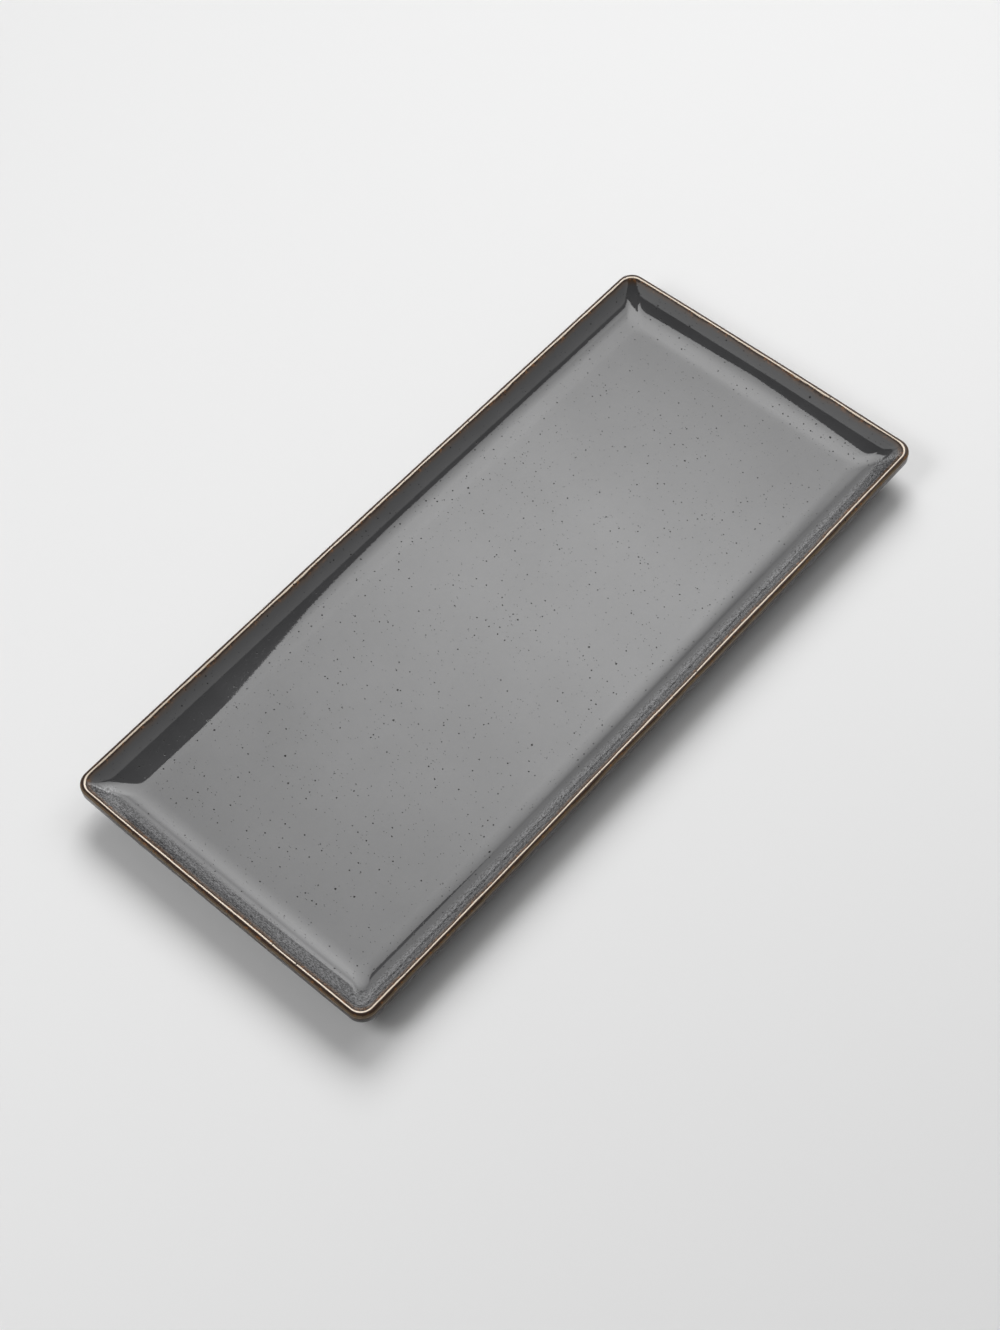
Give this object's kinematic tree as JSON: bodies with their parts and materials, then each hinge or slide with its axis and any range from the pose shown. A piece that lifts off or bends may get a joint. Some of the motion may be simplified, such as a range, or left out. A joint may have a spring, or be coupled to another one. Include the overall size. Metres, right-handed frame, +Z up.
{
  "type": "rectangular serving platter",
  "caption": "Shallow rectangular stoneware platter with sloping walls, rounded corners, a brown lip, a grey glazed well and a foot ring.",
  "frame": {"origin": "on the table, under the middle of the platter: the bottom centre of the bounding box", "axes": "+X along the long side, +Y across, +Z up out of the well"},
  "size_m": [0.35, 0.16, 0.02],
  "materials": {
    "fired_clay": "bare fired stoneware, matt",
    "grey_glaze": "gloss, fine dark specks",
    "brown_glaze": "gloss, iron brown where it is thin",
    "outer_glaze": "gloss",
    "underside_glaze": "gloss"
  },
  "bodies": {
    "root": {"stoneware_body": "fired_clay", "well_glaze": "grey_glaze", "rim_glaze": "brown_glaze", "overhang_glaze": "outer_glaze", "base_glaze": "underside_glaze"}
  },
  "joints": []
}
